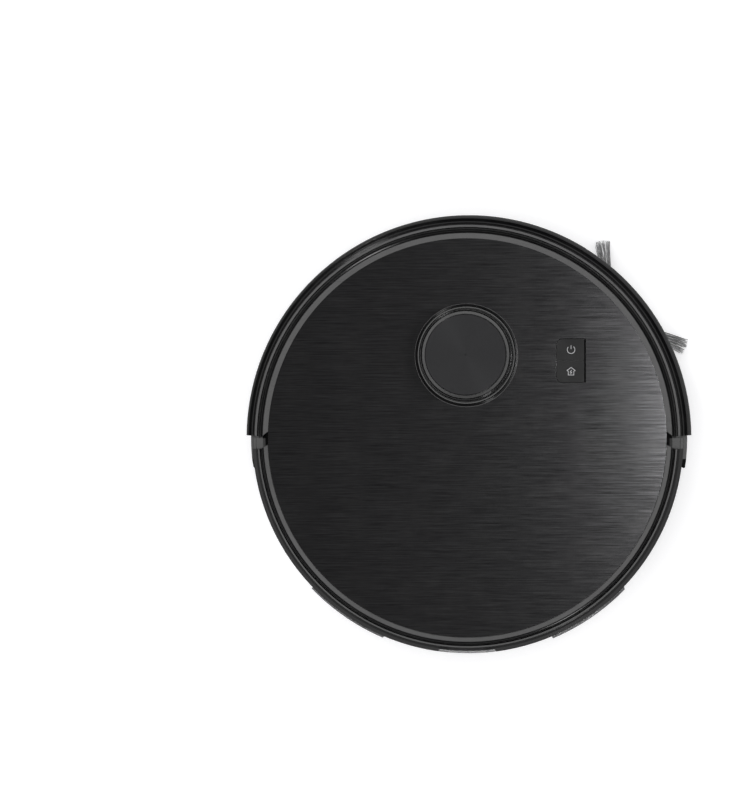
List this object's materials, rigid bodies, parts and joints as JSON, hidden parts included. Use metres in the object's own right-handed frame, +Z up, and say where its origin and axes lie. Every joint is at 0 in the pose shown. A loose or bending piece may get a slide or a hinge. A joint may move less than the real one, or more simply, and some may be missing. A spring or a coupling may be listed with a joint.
{
  "type": "robot vacuum",
  "caption": "Disc-shaped robot vacuum and mop with a laser turret, spring bumper, sprung wheels, side brush and pull-out bin.",
  "frame": {"origin": "centre of the body's round outline, on the floor", "axes": "+Z up, -Y the driving direction with the bumper, +X the side with the exhaust slots"},
  "size_m": [0.356, 0.3487, 0.0965],
  "materials": {
    "shell_black": "satin black moulded plastic",
    "bumper_black": "glossy black moulded plastic",
    "plate_brushed": "straight brushed, dark anodised",
    "turret_metal": "turned, dark anodised",
    "button_black": "satin",
    "dark_window": "infrared-clear black",
    "lens": "coated lens",
    "inner_grey": "moulded, fine grain",
    "light_grey": "moulded",
    "steel": "bright",
    "contact_plate": "plated spring contact",
    "circuit_board": "solder mask",
    "battery_wrap": "shrink wrap",
    "tyre_rubber": "treaded",
    "rubber_black": "moulded",
    "blade_grey": "soft rubber and bristle",
    "bristle": "nylon",
    "tank_smoke": "smoky translucent",
    "filter_white": "pleated",
    "mop_grey": "microfibre"
  },
  "bodies": {
    "chassis": {"base_shell": "shell_black", "top_cover": "shell_black", "top_plate": "plate_brushed", "bumper_springs": "steel", "bumper_switches": "inner_grey", "turret_base": "shell_black", "laser_bracket": "inner_grey", "laser_motor": "steel", "drive_belt": "rubber_black", "button_board": "circuit_board", "main_board": "circuit_board", "battery_pack": "battery_wrap", "battery_door": "shell_black", "charging_contacts": "contact_plate", "speaker": "inner_grey", "cliff_windows": "dark_window", "housing_screws": "steel", "pivot_pins": "steel", "wheel_springs": "steel", "brush_housing": "inner_grey", "brush_bearing": "light_grey", "brush_motor": "inner_grey", "brush_guard": "inner_grey", "side_brush_motor": "inner_grey", "fan_housing": "inner_grey", "fan_motor": "steel"},
    "bumper": {"bumper": "bumper_black", "bumper_window": "dark_window"},
    "turret_cap": {"turret_cover": "shell_black", "turret_disc": "turret_metal"},
    "laser_head": {"laser_rotor": "inner_grey", "laser_lenses": "lens"},
    "belt_pulley": {"motor_pulley": "light_grey"},
    "power_key": {"power_button": "button_black"},
    "home_key": {"home_button": "button_black"},
    "left_arm": {"left_swing_arm": "inner_grey", "left_wheel_motor": "steel"},
    "right_arm": {"right_swing_arm": "inner_grey", "right_wheel_motor": "steel"},
    "left_drive": {"left_wheel": "inner_grey", "left_tyre": "tyre_rubber"},
    "right_drive": {"right_wheel": "inner_grey", "right_tyre": "tyre_rubber"},
    "caster_swivel": {"caster_fork": "shell_black", "caster_axle": "steel"},
    "caster_roller": {"caster_wheel": "light_grey"},
    "main_brush": {"brush_core": "inner_grey", "brush_blades": "blade_grey"},
    "side_brush": {"side_brush_hub": "inner_grey", "side_brush_tufts": "bristle"},
    "fan_wheel": {"impeller": "light_grey"},
    "bin": {"dustbin": "inner_grey", "bin_lid": "inner_grey", "filter": "filter_white", "water_tank": "tank_smoke", "filler_plug": "rubber_black"},
    "port_flap": {"outlet_flap": "inner_grey"},
    "bin_key": {"release_button": "light_grey"},
    "mop": {"mop_bracket": "inner_grey", "mop_cloth": "mop_grey"}
  },
  "joints": [
    {"name": "bumper_press", "type": "slide", "parent": "chassis", "child": "bumper", "axis": [0, 1, 0], "range_m": [0, 0.003], "stiffness_N_per_m": 500, "springref_m": -0.003, "deforming": ["bumper_springs"]},
    {"name": "turret_press", "type": "slide", "parent": "chassis", "child": "turret_cap", "axis": [0, 0, -1], "range_m": [0, 0.001], "stiffness_N_per_m": 2000, "springref_m": -0.0015},
    {"name": "laser_spin", "type": "hinge", "parent": "chassis", "child": "laser_head", "pos_m": [0, -0.065, 0.07], "axis": [0, 0, 1], "continuous": true},
    {"name": "pulley_spin", "type": "hinge", "parent": "chassis", "child": "belt_pulley", "pos_m": [0.046, -0.065, 0.066], "axis": [0, 0, 1], "continuous": true},
    {"name": "power_press", "type": "slide", "parent": "chassis", "child": "power_key", "axis": [0, 0, -1], "range_m": [0, 0.0008], "stiffness_N_per_m": 800, "springref_m": -0.001},
    {"name": "home_press", "type": "slide", "parent": "chassis", "child": "home_key", "axis": [0, 0, -1], "range_m": [0, 0.0008], "stiffness_N_per_m": 800, "springref_m": -0.001},
    {"name": "left_suspension", "type": "hinge", "parent": "chassis", "child": "left_arm", "pos_m": [-0.121, -0.05, 0.04], "axis": [-1, 0, 0], "range_deg": [0, 13], "stiffness_Nm_per_rad": 0.15, "springref_deg": 57.3},
    {"name": "left_wheel_spin", "type": "hinge", "parent": "left_arm", "child": "left_drive", "pos_m": [-0.121, 0, 0.035], "axis": [1, 0, 0], "continuous": true},
    {"name": "right_suspension", "type": "hinge", "parent": "chassis", "child": "right_arm", "pos_m": [0.121, -0.05, 0.04], "axis": [-1, 0, 0], "range_deg": [0, 13], "stiffness_Nm_per_rad": 0.15, "springref_deg": 57.3},
    {"name": "right_wheel_spin", "type": "hinge", "parent": "right_arm", "child": "right_drive", "pos_m": [0.121, 0, 0.035], "axis": [1, 0, 0], "continuous": true},
    {"name": "caster_swivel_turn", "type": "hinge", "parent": "chassis", "child": "caster_swivel", "pos_m": [0, -0.133, 0.034], "axis": [0, 0, 1], "continuous": true},
    {"name": "caster_roll", "type": "hinge", "parent": "caster_swivel", "child": "caster_roller", "pos_m": [0, -0.129, 0.015], "axis": [1, 0, 0], "continuous": true},
    {"name": "main_brush_spin", "type": "hinge", "parent": "chassis", "child": "main_brush", "pos_m": [0, 0.018, 0.022], "axis": [1, 0, 0], "continuous": true},
    {"name": "side_brush_spin", "type": "hinge", "parent": "chassis", "child": "side_brush", "pos_m": [-0.11584, -0.09686, 0.01], "axis": [0, 0, 1], "continuous": true},
    {"name": "fan_spin", "type": "hinge", "parent": "chassis", "child": "fan_wheel", "pos_m": [0.046, 0.012, 0.065], "axis": [0, 0, 1], "continuous": true},
    {"name": "bin_slide", "type": "slide", "parent": "chassis", "child": "bin", "axis": [0, 1, 0], "range_m": [0, 0.13]},
    {"name": "flap_swing", "type": "hinge", "parent": "bin", "child": "port_flap", "pos_m": [0, 0.1661, 0.0514], "axis": [1, 0, 0], "range_deg": [0, 70], "stiffness_Nm_per_rad": 0.002, "springref_deg": -22.92},
    {"name": "release_press", "type": "slide", "parent": "bin", "child": "bin_key", "axis": [0, -1, 0], "range_m": [0, 0.002], "stiffness_N_per_m": 500, "springref_m": -0.001},
    {"name": "mop_slide", "type": "slide", "parent": "bin", "child": "mop", "axis": [0, 1, 0], "range_m": [0, 0.1]}
  ],
  "couplings": [
    {"joint": "pulley_spin", "follows": "laser_spin", "ratio": 5.8}
  ]
}
